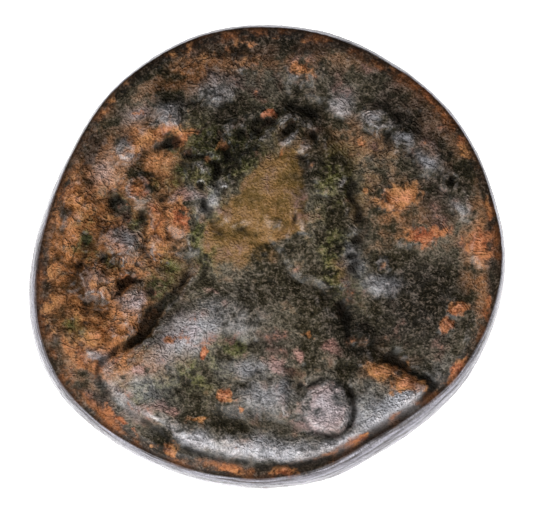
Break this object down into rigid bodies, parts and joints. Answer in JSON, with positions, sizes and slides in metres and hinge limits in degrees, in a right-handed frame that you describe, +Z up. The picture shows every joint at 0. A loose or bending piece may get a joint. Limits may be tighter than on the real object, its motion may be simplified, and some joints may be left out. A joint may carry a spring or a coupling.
{
  "type": "ancient bronze coin",
  "caption": "Thick, uneven struck bronze coin with a bevelled edge, a worn cloaked bust facing right on the obverse and a wreath round an altar on the reverse; lies flat.",
  "frame": {"origin": "on the resting plane, which is the worn-flat relief of the reverse, under the middle of the flan", "axes": "+Z up through the coin, out of the obverse; +Y towards the top of the bust; +X the way the bust faces"},
  "size_m": [0.0242, 0.0236, 0.0038],
  "materials": {
    "bronze": "dark brown to black-green patina, worn smooth and glossy on the high points, with matt orange-brown corrosion products in patches and along the rim"
  },
  "bodies": {
    "root": {"coin": "bronze"}
  },
  "joints": []
}
